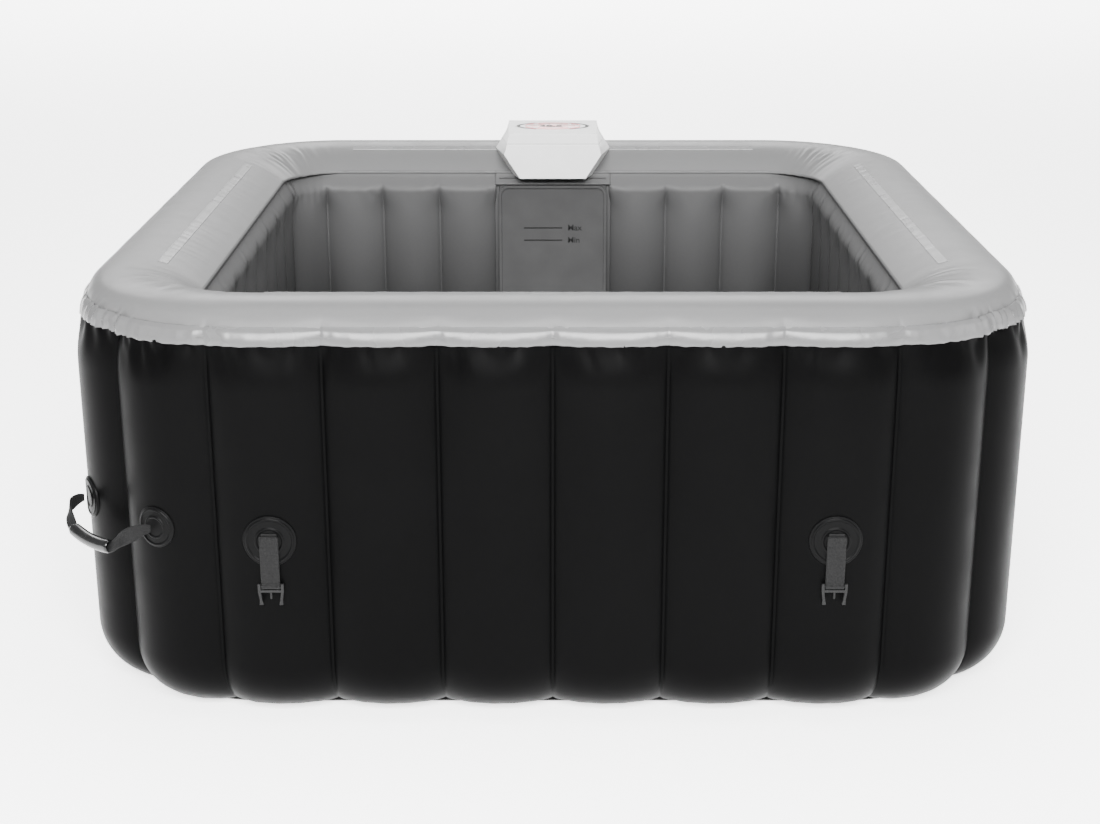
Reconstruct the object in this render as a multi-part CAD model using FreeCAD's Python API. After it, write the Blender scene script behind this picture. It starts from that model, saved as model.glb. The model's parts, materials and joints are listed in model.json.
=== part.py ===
import FreeCAD, Part

import math
import os

# Inflatable hot tub. Millimetres, +Z up, front towards -Y.
# The origin is on the ground, under the middle of the tub.

V = FreeCAD.Vector
UP = V(0, 0, 1)
SIDEWAYS = V(1, 0, 0)
SAVED = {}  # every finished part by name

# ---- outer wall -------------------------------------------------------------------------
OUTER_HALF = 763.0  # half width between the vertical seams
OUTER_CORNER = 286.0
OUTER_PANELS = 32
OUTER_BULGE = 27.0
BOTTOM_ROUND = 102.0
WALL_TOP = 630.0
SHOULDER_Z = 561.0
SHOULDER_INSET = 14.0
OUTER_BACK = -69.0  # back of the outer columns, from the seam line
SEAM_INSET_MAX = 62.0

# ---- inner wall -------------------------------------------------------------------------
INNER_HALF = 587.0
INNER_CORNER = 100.0
INNER_PANELS = 36
INNER_BULGE = 25.0
INNER_BACK = 84.0

# ---- sheets and rim ---------------------------------------------------------------------
SHEET = 3.0
BASE_HALF = 700.0
FLOOR_HALF = 558.0
FLOOR_TOP = 8.0
DIVIDER_HALF = 675.0
DIVIDER_CORNER = 186.0
RIM_BOTTOM = 632.0
RIM_TOP = 688.0
RIM_INNER_HALF = 581.0
RIM_INNER_Z = 643.0
OUTER_CENTRE = OUTER_HALF - OUTER_CORNER
RIM_INNER_CENTRE = 465.0
RIM_OUTSIDE = [(632, 776), (645, 770), (665, 760), (680, 748), (686.5, 724), (688, 700)]
RIM_BOWL = [(643, 581), (655, 595), (670, 620), (684, 655), (688, 690)]
SKIRT_GAP = 0.4
SKIRT_THICK = 2.0
SKIRT_TOP = 656.0

# ---- air bubble ring --------------------------------------------------------------------
BUBBLE_HALF = 530.0
BUBBLE_CORNER = 70.0
BUBBLE_R = 10.0
BUBBLE_WALL = 2.0
BUBBLE_HOLES = 32
BUBBLE_HOLE_R = 1.5

# ---- handles and cover buckles ----------------------------------------------------------
PATCH_THICK = 3.0
RIDGE_HEIGHT = 2.5
RIDGE_WIDTH = 4.0
HANDLE_Z = 330.0
HANDLE_PATCH_R = 34.0
HANDLE_STANDOFF = 11.0
GRIP_OUT = 47.5
GRIP_DROP = 29.0
GRIP_HALF = 54.0
GRIP_R = 11.0
BUCKLE_Z = 320.0
BUCKLE_PATCH_R = 42.0
BUCKLE_PANEL = 2.5  # panel pitches from the middle of a side
STRAP_AXIS_Z = 327.0
STRAP_AXIS_OUT = 9.0
STRAP_WIDTH = 30.0
STRAP_THICK = 2.4
STRAP_ROLL_R = 2.8
CLIP_AXIS_Z = 247.0
CLIP_LOOP_R = 3.6
CLIP_BAR_R = 1.5
CLIP_BAR_GAP = 0.4
CLIP_END_Z = 217.0
CLIP_SIDE_IN = 15.8
CLIP_SIDE_OUT = 20.2

# ---- power unit in the back wall --------------------------------------------------------
UNIT_HALF = 118.0
UNIT_FRONT = 574.0
UNIT_BACK = 748.0
UNIT_TOP = 628.0
UNIT_WALL = 4.0
PANEL_HALF = 119.5
PANEL_FRONT = 566.0
PANEL_LOW = 40.0
PANEL_HIGH = 611.0
PANEL_CORNER = 22.0
DOOR_HALF = 166.0
DOOR_FRONT = 756.3
DOOR_BACK = 761.0
DOOR_LOW = 30.0
DOOR_HIGH = 600.0
FILTER_X = -42.0
FILTER_Z = 230.0
FILTER_R = 54.0
NOZZLE_X = 75.0
NOZZLE_Z = 150.0
TUBE_Y = 705.0
PUMP_Y = 690.0
PUMP_Z = 80.0
HEATER_Z = 330.0
BLOWER_Y = 660.0
BLOWER_Z = 500.0
AIR_HOSE_X = 5.0
AIR_HOSE_Y = 620.0
AIR_PORT_X = 35.0
GLAND = V(-95, 0, 60)
GLAND_BORE_R = 4.5

SCREW_HALF = 154.0  # door screws, sideways from the middle
SCREW_HEIGHTS = (48, 315, 582)
LOUVRES = 9
LOUVRE_LOW = 430.0
LOUVRE_STEP = 14.0
LOUVRE_HALF = 80.0
LOUVRE_GAP = 6.0
CUP_BACK = 684.0
CUP_WALL = 2.5
CAP_R = 60.0
CAP_HOLES = 12
CAP_HOLE_RING = 34.0
CARTRIDGE_R = 46.0
CARTRIDGE_BORE = 18.0
SPIGOT_X = -80.0
NOZZLE_FLANGE_R = 27.0
NOZZLE_PIPE_R = 17.8
NOZZLE_BORE = 11.0
AIR_PORT_Z = 18.0
HOSE_R = 12.0
HOSE_BORE = 9.0
AIR_HOSE_R = 8.0
AIR_HOSE_BORE = 6.0
VOLUTE_R = 46.0
MOTOR_R = 38.0
MOTOR_GROOVES = 16
CHAMBER_R = 39.0
IMPELLER_R = 34.0
IMPELLER_VANES = 6
SHAFT_R = 4.0
SHAFT_GAP = 0.05
HEATER_R = 24.0
HEATER_BORE = 20.0
HEATER_HALF = 92.0
ELEMENT_R = 5.0
SCROLL_R = 58.0
SCROLL_BORE = 50.0
FAN_R = 46.0
FAN_BLADES = 20

# ---- valves on the back wall ------------------------------------------------------------
VALVE_PANEL = OUTER_PANELS / 2 - 1.5
VALVE_Z = 430.0
VALVE_BORE = 10.0
VALVE_FLANGE_R = 24.0
VALVE_NECK_R = 15.0
VALVE_LID_R = 17.0
VALVE_HINGE_OUT = 16.4
VALVE_HINGE_Z = 24.0
VALVE_KNUCKLE_R = 2.0
DRAIN_PANEL = OUTER_PANELS / 2 + 1.5
DRAIN_Z = 170.0
DRAIN_THREAD_R = 13.2
DRAIN_BORE = 9.5
DRAIN_CAP_R = 17.0
CAP_GROOVES = 16

# ---- control head -----------------------------------------------------------------------
HEAD_LOW = 633.0
HEAD_SPLIT = 706.0
HEAD_TOP = 730.0
HEAD_WALL = 3.0
# half outline at three heights: front corner, widest corner, back corner
HEAD_OUTLINES = [
    (633.0, [(72, 534), (100, 620), (92, 728)]),
    (684.0, [(106, 540), (127, 640), (105, 736)]),
    (730.0, [(95, 546), (99, 640), (100, 731)]),
]
LENS_Y = 648.0
LENS_HALF = (84.0, 52.0)
KEY_R = 5.0
KEY_GAP = 0.3
KEY_PLACES = {
    "key_power": (-54, 0),
    "key_heater": (-38, 24),
    "key_filter": (-38, -24),
    "key_bubbles": (54, 0),
    "key_up": (38, 24),
    "key_down": (38, -24),
}


# ---- helpers ----------------------------------------------------------------------------
def save(name, *solids):
    shape = solids[0] if len(solids) == 1 else Part.makeCompound(list(solids))
    shape.exportStep("parts/" + name + ".step")
    SAVED[name] = shape


def rod(radius, start, end):
    """A round bar between two points."""
    run = end - start
    return Part.makeCylinder(radius, run.Length, start, run)


def tube(radius, bore, start, end):
    return rod(radius, start, end).cut(rod(bore, start - (end - start), end + (end - start)))


def block(low, high):
    size = V(*high) - V(*low)
    return Part.makeBox(size.x, size.y, size.z, V(*low))


def polygon(points):
    return Part.makePolygon(list(points) + [points[0]])


def loft(wires):
    return Part.makeLoft(wires, True, True)


def rounded_square(half, corner, z):
    """A closed wire round the origin, in the horizontal plane at height z."""
    flat = half - corner
    lean = corner * math.sqrt(0.5)
    edges = []
    for turn in range(4):
        side = Part.LineSegment(V(-flat, -half, z), V(flat, -half, z)).toShape()
        bend = Part.Arc(
            V(flat, -half, z), V(flat + lean, -flat - lean, z), V(half, -flat, z)
        ).toShape()
        for edge in (side, bend):
            edge.rotate(V(0, 0, 0), UP, 90 * turn)
            edges.append(edge)
    return Part.Wire(edges)


def plate(half, corner, low, high):
    face = Part.Face(rounded_square(half, corner, low))
    return face.extrude(V(0, 0, high - low))


def one(shape):
    """The single solid of a boolean result."""
    return shape.Solids[0]


class SeamCurve:
    """A rounded square of seams, walked from the middle of the front towards +X."""

    def __init__(self, half, corner, panels):
        self.half = half
        self.corner = corner
        self.flat = half - corner
        self.quarter = 2 * self.flat + corner * math.pi / 2
        self.pitch = 4 * self.quarter / panels

    def at(self, panels, out=0.0):
        """The point and outward normal so many panels along, moved out by a distance."""
        walk = panels * self.pitch + self.quarter / 2
        side, along = divmod(walk, self.quarter)
        along -= self.quarter / 2
        sign = 1 if along >= 0 else -1
        bend = max(0.0, abs(along) - self.flat) / self.corner
        reach = min(abs(along), self.flat)
        normal = V(sign * math.sin(bend), -math.cos(bend), 0)
        hub = V(sign * reach, -self.flat, 0)
        turn = FreeCAD.Rotation(UP, 90 * side)
        return turn.multVec(hub + normal * (self.corner + out)), turn.multVec(normal)


OUTER = SeamCurve(OUTER_HALF, OUTER_CORNER, OUTER_PANELS)
INNER = SeamCurve(INNER_HALF, INNER_CORNER, INNER_PANELS)


def face_to(shape, point, normal, z):
    """Turn a shape made facing -Y so that it faces along normal, and move it there."""
    placed = shape.copy()
    placed.rotate(V(0, 0, 0), UP, math.degrees(math.atan2(normal.x, -normal.y)))
    placed.translate(point + V(0, 0, z))
    return placed


# ---- walls ------------------------------------------------------------------------------
def column(curve, first, sections, back):
    """One inflated column: an arc front from seam to seam, straight sides and back."""
    wires = []
    for z, seam, crown in sections:
        a = curve.at(first, seam)[0] + V(0, 0, z)
        m = curve.at(first + 0.5, crown)[0] + V(0, 0, z)
        b = curve.at(first + 1, seam)[0] + V(0, 0, z)
        c = curve.at(first + 1, back)[0] + V(0, 0, z)
        d = curve.at(first, back)[0] + V(0, 0, z)
        front = Part.Arc(a, m, b).toShape()
        rest = [Part.LineSegment(p, q).toShape() for p, q in ((b, c), (c, d), (d, a))]
        wires.append(Part.Wire([front] + rest))
    return loft(wires)


def outer_wall():
    sections = []
    for z in (SHEET, 12, 30, 60, BOTTOM_ROUND):
        rise = BOTTOM_ROUND - z
        inset = BOTTOM_ROUND - math.sqrt(BOTTOM_ROUND**2 - rise**2)
        sections.append((z, -min(inset, SEAM_INSET_MAX), OUTER_BULGE - inset))
    sections.append((SHOULDER_Z, 0, OUTER_BULGE))
    sections.append((WALL_TOP, -SHOULDER_INSET, OUTER_BULGE - SHOULDER_INSET))
    back = OUTER_PANELS // 2
    unit = (back - 1, back)  # the two columns that the power unit takes the place of
    places = [n for n in range(OUTER_PANELS) if n not in unit]
    save("outer_wall", *[column(OUTER, n, sections, OUTER_BACK) for n in places])


def inner_wall():
    sections = [
        (SHEET, 0, -INNER_BULGE * 0.6),
        (40, 0, -INNER_BULGE),
        (RIM_BOTTOM - 40, 0, -INNER_BULGE),
        (RIM_BOTTOM - 0.5, 0, -INNER_BULGE * 0.6),
    ]
    back = INNER_PANELS // 2
    unit = (back - 1, back)
    places = [n for n in range(INNER_PANELS) if n not in unit]
    save("inner_wall", *[column(INNER, n, sections, INNER_BACK) for n in places])


def sheets():
    save("base_sheet", plate(BASE_HALF, BASE_HALF - OUTER_CENTRE, 0, SHEET))
    save("floor_liner", plate(FLOOR_HALF, 80, SHEET, FLOOR_TOP))
    ring = plate(DIVIDER_HALF + SHEET, DIVIDER_CORNER + SHEET, SHEET, RIM_BOTTOM - 1)
    ring = ring.cut(plate(DIVIDER_HALF, DIVIDER_CORNER, 0, RIM_TOP))
    gap = block((-UNIT_HALF - 3, 600, 0), (UNIT_HALF + 3, 700, RIM_TOP))
    save("chamber_divider", one(ring.cut(gap)))


# ---- rim --------------------------------------------------------------------------------
def top_rim():
    outside = loft([rounded_square(h, h - OUTER_CENTRE, z) for z, h in RIM_OUTSIDE])
    bowl = loft([rounded_square(h, h - RIM_INNER_CENTRE, z) for z, h in RIM_BOWL])
    hole = plate(
        RIM_INNER_HALF, RIM_INNER_HALF - RIM_INNER_CENTRE, RIM_BOTTOM - 10, RIM_INNER_Z
    )
    notch = block((-130, 500, RIM_BOTTOM - 10), (130, 741, RIM_TOP + 10))
    save("top_rim", one(outside.cut(bowl).cut(hole).cut(notch)))


def rim_skirt():
    half = RIM_OUTSIDE[0][1] + SKIRT_GAP
    full = half + SKIRT_THICK
    band = plate(full, full - OUTER_CENTRE, WALL_TOP + SKIRT_GAP, SKIRT_TOP)
    save("rim_skirt", one(band.cut(plate(half, half - OUTER_CENTRE, 0, RIM_TOP))))


def bubble_ring():
    z = FLOOR_TOP + BUBBLE_R
    path = rounded_square(BUBBLE_HALF, BUBBLE_CORNER, z)

    def pipe(radius):
        start = V(BUBBLE_CORNER - BUBBLE_HALF, -BUBBLE_HALF, z)
        circle = Part.Wire(Part.makeCircle(radius, start, SIDEWAYS))
        return path.makePipeShell([circle], True, False)

    ring = pipe(BUBBLE_R).cut(pipe(BUBBLE_R - BUBBLE_WALL))
    walk = SeamCurve(BUBBLE_HALF, BUBBLE_CORNER, BUBBLE_HOLES)
    holes = []
    for n in range(BUBBLE_HOLES):
        foot = walk.at(n + 0.5)[0] + V(0, 0, z)
        holes.append(Part.makeCylinder(BUBBLE_HOLE_R, BUBBLE_R * 2, foot, UP))
    save("bubble_ring", one(ring.cut(Part.makeCompound(holes))))


# ---- patches, handles, buckles ----------------------------------------------------------
def patch(place, z, radius, ridges):
    """A round welded patch that hugs the column, with raised rings."""
    a = OUTER.at(place - 0.5)[0]
    m, normal = OUTER.at(place, OUTER_BULGE)
    b = OUTER.at(place + 0.5)[0]
    arc = Part.Arc(a, m, b).toShape().Curve
    centre = arc.Center + V(0, 0, z - radius - 5)
    height = 2 * radius + 10

    def skin(low, high):
        outer = Part.makeCylinder(arc.Radius + high, height, centre)
        return outer.cut(Part.makeCylinder(arc.Radius + low, height, centre))

    def disc(r):
        return Part.makeCylinder(r, 30, m + V(0, 0, z) - normal * 15, normal)

    body = disc(radius).common(skin(0, PATCH_THICK))
    for r in ridges:
        ring = disc(r + RIDGE_WIDTH / 2).cut(disc(r - RIDGE_WIDTH / 2))
        body = body.fuse(ring.common(skin(PATCH_THICK - 1, PATCH_THICK + RIDGE_HEIGHT)))
    return one(body.removeSplitter())


def band(stations):
    """A flat band through stations of (centre, width direction, thickness direction)."""
    wires = []
    for centre, wide, thick in stations:
        corners = [wide + thick, thick - wide, (wide + thick) * -1, wide - thick]
        wires.append(polygon([centre + corner for corner in corners]))
    return loft(wires)


def handle(name, corner_panel):
    """A carry handle over a corner seam: two webbing ends and a hard grip."""
    ends = [OUTER.at(corner_panel + step, OUTER_BULGE)[0] for step in (-0.5, 0.5)]
    normals = [OUTER.at(corner_panel + step)[1] for step in (-0.5, 0.5)]
    roots = [p + n * HANDLE_STANDOFF for p, n in zip(ends, normals)]
    middle = (roots[0] + roots[1]) * 0.5
    reach = (roots[1] - roots[0]).Length / 2
    outward = OUTER.at(corner_panel)[1]
    straps = []
    for side in (-1, 1):
        half = STRAP_THICK / 2
        stations = [
            (V(side * reach, -2, 0), V(0, 0, 9), V(half, 0, 0)),
            (V(side * (reach - 7), -22, -3), V(0, 0, 11), V(half, 0, 0)),
            (V(side * (reach - 24), -38, -12), V(0, 3, 10), V(half, -half * side, 0)),
            (V(side * (GRIP_HALF + 0.2), -GRIP_OUT, -GRIP_DROP), V(0, 0, 6.5), V(0, half, 0)),
        ]
        if side < 0:
            stations = [(c, w, t * -1) for c, w, t in stations]
        strap = band(stations)
        roll = rod(4, V(side * reach - 8, 0, 0), V(side * reach + 8, 0, 0))
        straps.append(one(strap.fuse(roll)))
    grip = rod(
        GRIP_R, V(-GRIP_HALF, -GRIP_OUT, -GRIP_DROP), V(GRIP_HALF, -GRIP_OUT, -GRIP_DROP)
    )
    placed = [face_to(s, middle, outward, HANDLE_Z) for s in straps]
    save("handle_strap_" + name, *placed)
    save("handle_grip_" + name, face_to(grip, middle, outward, HANDLE_Z))


def handles():
    front, rear = -OUTER_PANELS / 8, 3 * OUTER_PANELS / 8
    handle("front", front)
    handle("rear", rear)
    places = [corner + step for corner in (front, rear) for step in (-0.5, 0.5)]
    save(
        "handle_patches",
        *[patch(place, HANDLE_Z, HANDLE_PATCH_R, (17, 29)) for place in places],
    )


def buckle_strap():
    """Webbing with a welded roll at the top and a sewn loop round the clip's bar."""
    top = STRAP_AXIS_Z - BUCKLE_Z
    low = CLIP_AXIS_Z - BUCKLE_Z
    y = -STRAP_AXIS_OUT
    half = STRAP_WIDTH / 2
    web = block((-half, y - STRAP_THICK / 2, low), (half, y + STRAP_THICK / 2, top))
    roll = rod(STRAP_ROLL_R, V(-half, y, top), V(half, y, top))
    loop = rod(CLIP_LOOP_R, V(-half, y, low), V(half, y, low))
    bore = rod(CLIP_BAR_R + CLIP_BAR_GAP, V(-half - 1, y, low), V(half + 1, y, low))
    return one(web.fuse(roll).fuse(loop).cut(bore).removeSplitter())


def buckle_clip():
    """The male half of a side-release buckle: ladder bar, frame and two legs."""
    y = -STRAP_AXIS_OUT
    z = CLIP_AXIS_Z - BUCKLE_Z
    end = CLIP_END_Z - BUCKLE_Z
    frame = rod(CLIP_BAR_R, V(-CLIP_SIDE_IN - 2, y, z), V(CLIP_SIDE_IN + 2, y, z))
    for side in (-1, 1):
        low_x, high_x = sorted((side * CLIP_SIDE_IN, side * CLIP_SIDE_OUT))
        frame = frame.fuse(block((low_x, y - 2.5, z - 8), (high_x, y + 2.5, z + 5)))
        leg = band(
            [
                (V(side * 18.0, y, z - 8), V(2.1, 0, 0), V(0, 2.5, 0)),
                (V(side * 16.0, y, end + 8), V(2.1, 0, 0), V(0, 2.5, 0)),
                (V(side * 15.4, y, end), V(3.2, 0, 0), V(0, 2.0, 0)),
            ]
        )
        frame = frame.fuse(leg)
    cross = block((-CLIP_SIDE_OUT, y - 2.5, z - 9), (CLIP_SIDE_OUT, y + 2.5, z - 5))
    frame = frame.fuse(cross)
    guide = block((-1.5, y - 1.5, z - 20), (1.5, y + 1.5, z - 8))
    return one(frame.fuse(guide).removeSplitter())


def buckles():
    half_way = OUTER_PANELS / 2
    places = {
        "front_left": -BUCKLE_PANEL,
        "front_right": BUCKLE_PANEL,
        "rear_right": half_way - BUCKLE_PANEL,
        "rear_left": half_way + BUCKLE_PANEL,
    }
    strap, clip = buckle_strap(), buckle_clip()
    for name, place in places.items():
        point, normal = OUTER.at(place, OUTER_BULGE)
        save("buckle_strap_" + name, face_to(strap, point, normal, BUCKLE_Z))
        save("buckle_clip_" + name, face_to(clip, point, normal, BUCKLE_Z))
    patches = [patch(p, BUCKLE_Z, BUCKLE_PATCH_R, (21, 36)) for p in places.values()]
    save("buckle_patches", *patches)


# ---- power unit -------------------------------------------------------------------------
def unit_holes(extra):
    """Everything that passes through the water-side walls of the unit."""
    filter_hole = rod(FILTER_R + extra, V(FILTER_X, 550, FILTER_Z), V(FILTER_X, 580, FILTER_Z))
    nozzle = rod(18 + extra, V(NOZZLE_X, 550, NOZZLE_Z), V(NOZZLE_X, 580, NOZZLE_Z))
    air = rod(
        AIR_HOSE_R + extra, V(AIR_PORT_X, 550, AIR_PORT_Z), V(AIR_PORT_X, 580, AIR_PORT_Z)
    )
    return filter_hole.fuse(nozzle).fuse(air)


def unit_casing():
    shell = block((-UNIT_HALF, UNIT_FRONT, SHEET + 1), (UNIT_HALF, UNIT_BACK, UNIT_TOP))
    inside = block(
        (UNIT_WALL - UNIT_HALF, UNIT_FRONT + UNIT_WALL, SHEET + 1 + UNIT_WALL),
        (UNIT_HALF - UNIT_WALL, UNIT_BACK + 5, UNIT_TOP - UNIT_WALL),
    )
    neck = block((-25, 620, UNIT_TOP - 10), (25, 670, UNIT_TOP + 5))
    save("unit_housing", one(shell.cut(inside).cut(unit_holes(0.3)).cut(neck)))

    outer = block((-172, UNIT_BACK, SHEET + 1), (172, DOOR_FRONT - 0.3, 610))
    hole = block((-112, UNIT_BACK - 1, 12), (112, DOOR_FRONT, 596))
    save("unit_rear_frame", one(outer.cut(hole)))


def rounded_panel(half, low, high, front, back, corner):
    """An upright plate with rounded corners, facing -Y."""
    slab = block((-half, front, low), (half, back, high))
    edges = [e for e in slab.Edges if abs(e.tangentAt(e.FirstParameter).y) > 0.9]
    return slab.makeFillet(corner, edges)


def unit_front_panel():
    sheet = rounded_panel(
        PANEL_HALF, PANEL_LOW, PANEL_HIGH, PANEL_FRONT + 3, UNIT_FRONT, PANEL_CORNER
    )
    lip = rounded_panel(
        PANEL_HALF, PANEL_LOW, PANEL_HIGH, PANEL_FRONT, PANEL_FRONT + 4, PANEL_CORNER
    )
    field = rounded_panel(
        PANEL_HALF - 6, PANEL_LOW + 6, PANEL_HIGH - 6, PANEL_FRONT - 1, UNIT_FRONT, 16
    )
    panel = sheet.fuse(lip.cut(field)).cut(unit_holes(0.0))
    save("unit_front_panel", one(panel.removeSplitter()))


def door_screw_places():
    return [(x, z) for x in (-SCREW_HALF, SCREW_HALF) for z in SCREW_HEIGHTS]


def unit_door():
    door = rounded_panel(DOOR_HALF, DOOR_LOW, DOOR_HIGH, DOOR_FRONT, DOOR_BACK, 24)
    for row in range(LOUVRES):
        z = LOUVRE_LOW + LOUVRE_STEP * row
        slot = block((-LOUVRE_HALF, 750, z), (LOUVRE_HALF, 765, z + LOUVRE_GAP))
        door = door.cut(slot)
    door = door.cut(rod(9.3, V(GLAND.x, 740, GLAND.z), V(GLAND.x, 780, GLAND.z)))
    screws = []
    for x, z in door_screw_places():
        door = door.cut(rod(2.6, V(x, 750, z), V(x, 765, z)))
        shank = rod(2.5, V(x, DOOR_FRONT, z), V(x, DOOR_BACK, z))
        head = rod(5, V(x, DOOR_BACK, z), V(x, DOOR_BACK + 3, z))
        cross = block((x - 3.5, DOOR_BACK + 1.5, z - 0.6), (x + 3.5, DOOR_BACK + 4, z + 0.6))
        screws.append(one(shank.fuse(head).cut(cross)))
    save("unit_door", one(door))
    save("door_screws", *screws)


def cable_gland():
    x, z = GLAND.x, GLAND.z
    barrel = rod(9, V(x, 750, z), V(x, 763, z))
    corners = []
    for turn in range(6):
        angle = math.radians(60 * turn)
        corners.append(V(x + 13 * math.cos(angle), DOOR_BACK, z + 13 * math.sin(angle)))
    nut = Part.Face(polygon(corners)).extrude(V(0, 8, 0))
    dome = Part.makeCone(11, 7.5, 12, V(x, DOOR_BACK + 8, z), V(0, 1, 0))
    bore = rod(GLAND_BORE_R, V(x, 740, z), V(x, 800, z))
    save("cable_gland", one(barrel.fuse(nut).fuse(dome).cut(bore)))


def filter_set():
    x, z = FILTER_X, FILTER_Z
    cup = rod(FILTER_R, V(x, PANEL_FRONT + 1, z), V(x, CUP_BACK, z))
    cup = cup.cut(rod(FILTER_R - CUP_WALL, V(x, PANEL_FRONT - 5, z), V(x, CUP_BACK - 3, z)))
    spigot = tube(
        HOSE_R, HOSE_BORE, V(SPIGOT_X, CUP_BACK - 3, z), V(SPIGOT_X, CUP_BACK + 8, z)
    )
    port = rod(HOSE_BORE, V(SPIGOT_X, CUP_BACK - 9, z), V(SPIGOT_X, CUP_BACK + 6, z))
    save("filter_cup", one(cup.fuse(spigot).cut(port)))

    cap = rod(CAP_R, V(x, 556, z), V(x, PANEL_FRONT - 0.4, z))
    cap = cap.makeFillet(3, [e for e in cap.Edges if isinstance(e.Curve, Part.Circle)])
    plug = rod(48, V(x, 560, z), V(x, 578, z))
    cap = cap.fuse(plug)
    for n in range(CAP_HOLES):
        angle = math.radians(360 / CAP_HOLES * n)
        hole = V(x + CAP_HOLE_RING * math.cos(angle), 550, z + CAP_HOLE_RING * math.sin(angle))
        cap = cap.cut(rod(5, hole, hole + V(0, 40, 0)))
    bar = block((x - 30, 546, z - 5), (x + 30, 557, z + 5))
    save("filter_cap", one(cap.fuse(bar).removeSplitter()))

    cartridge = tube(CARTRIDGE_R, CARTRIDGE_BORE, V(x, 578, z), V(x, 672, z))
    save("filter_cartridge", one(cartridge))


def return_nozzle():
    x, z = NOZZLE_X, NOZZLE_Z
    flange = rod(NOZZLE_FLANGE_R, V(x, 560, z), V(x, PANEL_FRONT, z))
    pipe = rod(NOZZLE_PIPE_R, V(x, 560, z), V(x, 600, z))
    eye = Part.makeSphere(19, V(x, 563, z)).common(rod(20, V(x, 548, z), V(x, 562, z)))
    bore = rod(NOZZLE_BORE, V(x, 540, z), V(x, 610, z))
    save("return_nozzle", one(flange.fuse(pipe).fuse(eye).cut(bore)))


def pump():
    y, z = PUMP_Y, PUMP_Z
    volute = rod(VOLUTE_R, V(-62, y, z), V(-28, y, z))
    motor = rod(MOTOR_R, V(-28, y, z), V(64, y, z))
    foot = block((-40, y - 30, SHEET + 1 + UNIT_WALL), (50, y + 30, z - 30))
    body = volute.fuse(motor).fuse(foot)
    for n in range(MOTOR_GROOVES):
        angle = math.radians(360 / MOTOR_GROOVES * n)
        groove = V(0, y + MOTOR_R * math.cos(angle), z + MOTOR_R * math.sin(angle))
        body = body.cut(rod(2.5, groove + V(-15, 0, 0), groove + V(58, 0, 0)))
    chamber = rod(CHAMBER_R, V(-57, y, z), V(-33, y, z))
    shaft_hole = rod(SHAFT_R + SHAFT_GAP, V(-34, y, z), V(-10, y, z))
    inlet = rod(10, V(-70, y, z), V(-50, y, z))
    outlet = rod(10, V(-45, TUBE_Y + 7, z), V(-45, TUBE_Y + 7, z + 60))
    save("pump_body", one(body.cut(chamber).cut(shaft_hole).cut(inlet).cut(outlet)))

    hub = rod(9, V(-48, y, z), V(-36, y, z))
    wheel = rod(IMPELLER_R, V(-38, y, z), V(-36, y, z)).fuse(hub)
    wheel = wheel.fuse(rod(SHAFT_R, V(-38, y, z), V(-14, y, z)))
    for n in range(IMPELLER_VANES):
        vane = block((-50, y + 6, z - 1.2), (-37, y + IMPELLER_R, z + 1.2))
        vane.rotate(V(0, y, z), SIDEWAYS, 360 / IMPELLER_VANES * n)
        wheel = wheel.fuse(vane)
    save("pump_impeller", one(wheel.removeSplitter()))


def heater():
    y, z = TUBE_Y, HEATER_Z
    body = tube(HEATER_R, HEATER_BORE, V(-HEATER_HALF, y, z), V(HEATER_HALF, y, z))
    for side in (-1, 1):
        end = side * HEATER_HALF
        flange = rod(HEATER_R + 3, V(end - side * 4, y, z), V(end, y, z))
        low_x, high_x = sorted((end, side * (UNIT_HALF - UNIT_WALL)))
        arm = block((low_x, y - 9, z - 9), (high_x, y + 9, z + 9))
        body = body.fuse(flange).fuse(arm)
    element = rod(ELEMENT_R, V(-HEATER_HALF, y, z), V(HEATER_HALF, y, z))
    ports = rod(10, V(-45, y + 7, z - 30), V(-45, y + 7, z)).fuse(
        rod(10, V(NOZZLE_X, y, z - 30), V(NOZZLE_X, y, z))
    )
    save("heater_tube", one(body.fuse(element).cut(ports)))


def blower():
    y, z = BLOWER_Y, BLOWER_Z
    scroll = rod(SCROLL_R, V(-45, y, z), V(20, y, z))
    motor = rod(30, V(20, y, z), V(70, y, z))
    hanger = block((28, y - 20, z + 20), (60, y + 20, UNIT_TOP - UNIT_WALL))
    chamber = rod(SCROLL_BORE, V(-40, y, z), V(15, y, z))
    eye = rod(24, V(-50, y, z), V(-30, y, z))
    shaft_hole = rod(SHAFT_R + SHAFT_GAP, V(14, y, z), V(45, y, z))
    outlet = rod(8, V(AIR_HOSE_X, AIR_HOSE_Y, z - 70), V(AIR_HOSE_X, AIR_HOSE_Y, z))
    body = scroll.fuse(motor).fuse(hanger)
    body = body.cut(chamber).cut(eye).cut(shaft_hole).cut(outlet)
    save("blower_body", one(body))

    shaft = rod(SHAFT_R, V(-5, y, z), V(40, y, z))
    fan = rod(FAN_R, V(8, y, z), V(10, y, z)).fuse(shaft)
    fan = fan.fuse(tube(FAN_R, FAN_R - 3, V(-33, y, z), V(-30, y, z)))
    for n in range(FAN_BLADES):
        blade = block((-33, y + FAN_R - 8, z - 0.8), (9, y + FAN_R - 0.5, z + 0.8))
        blade.rotate(V(0, y, z), SIDEWAYS, 360 / FAN_BLADES * n)
        fan = fan.fuse(blade)
    save("blower_fan", one(fan.removeSplitter()))


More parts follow.
